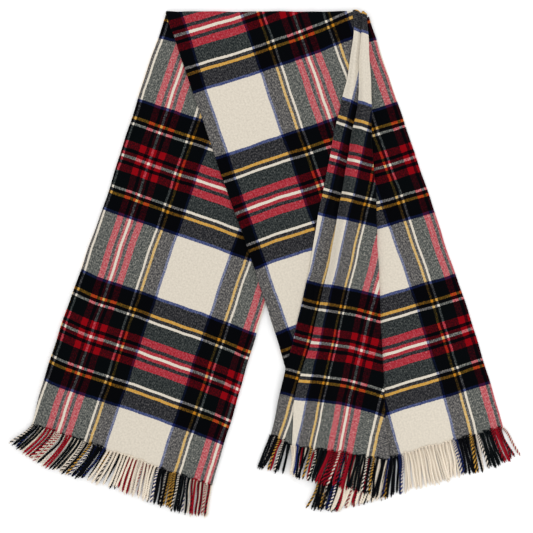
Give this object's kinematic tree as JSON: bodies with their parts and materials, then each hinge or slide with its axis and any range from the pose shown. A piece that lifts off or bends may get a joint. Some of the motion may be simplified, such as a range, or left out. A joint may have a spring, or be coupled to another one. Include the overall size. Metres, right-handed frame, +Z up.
{
  "type": "tartan blanket scarf",
  "caption": "Wide brushed wool scarf in a traditional tartan with twisted fringed ends, folded lengthwise, folded over and laid flat with its legs apart.",
  "frame": {"origin": "middle of the laid scarf's box, on the surface it lies on", "axes": "+Z up off the surface, +Y towards the top fold, +X towards the leg that holds the flap"},
  "size_m": [0.9652, 0.9652, 0.0195],
  "materials": {
    "tartan_wool": "brushed wool twill, matt, soft short nap",
    "fringe_wool": "twisted two-ply wool strands, matt"
  },
  "bodies": {
    "root": {"tail_upper_layer": "tartan_wool", "tail_lower_layer": "tartan_wool", "front_lower_layer": "tartan_wool", "front_upper_layer": "tartan_wool", "flap": "tartan_wool", "pleat": "tartan_wool", "fringe_tail_upper": "fringe_wool", "fringe_tail_lower": "fringe_wool", "fringe_front_lower": "fringe_wool", "fringe_front_upper": "fringe_wool", "fringe_flap": "fringe_wool", "fringe_pleat": "fringe_wool"}
  },
  "joints": []
}
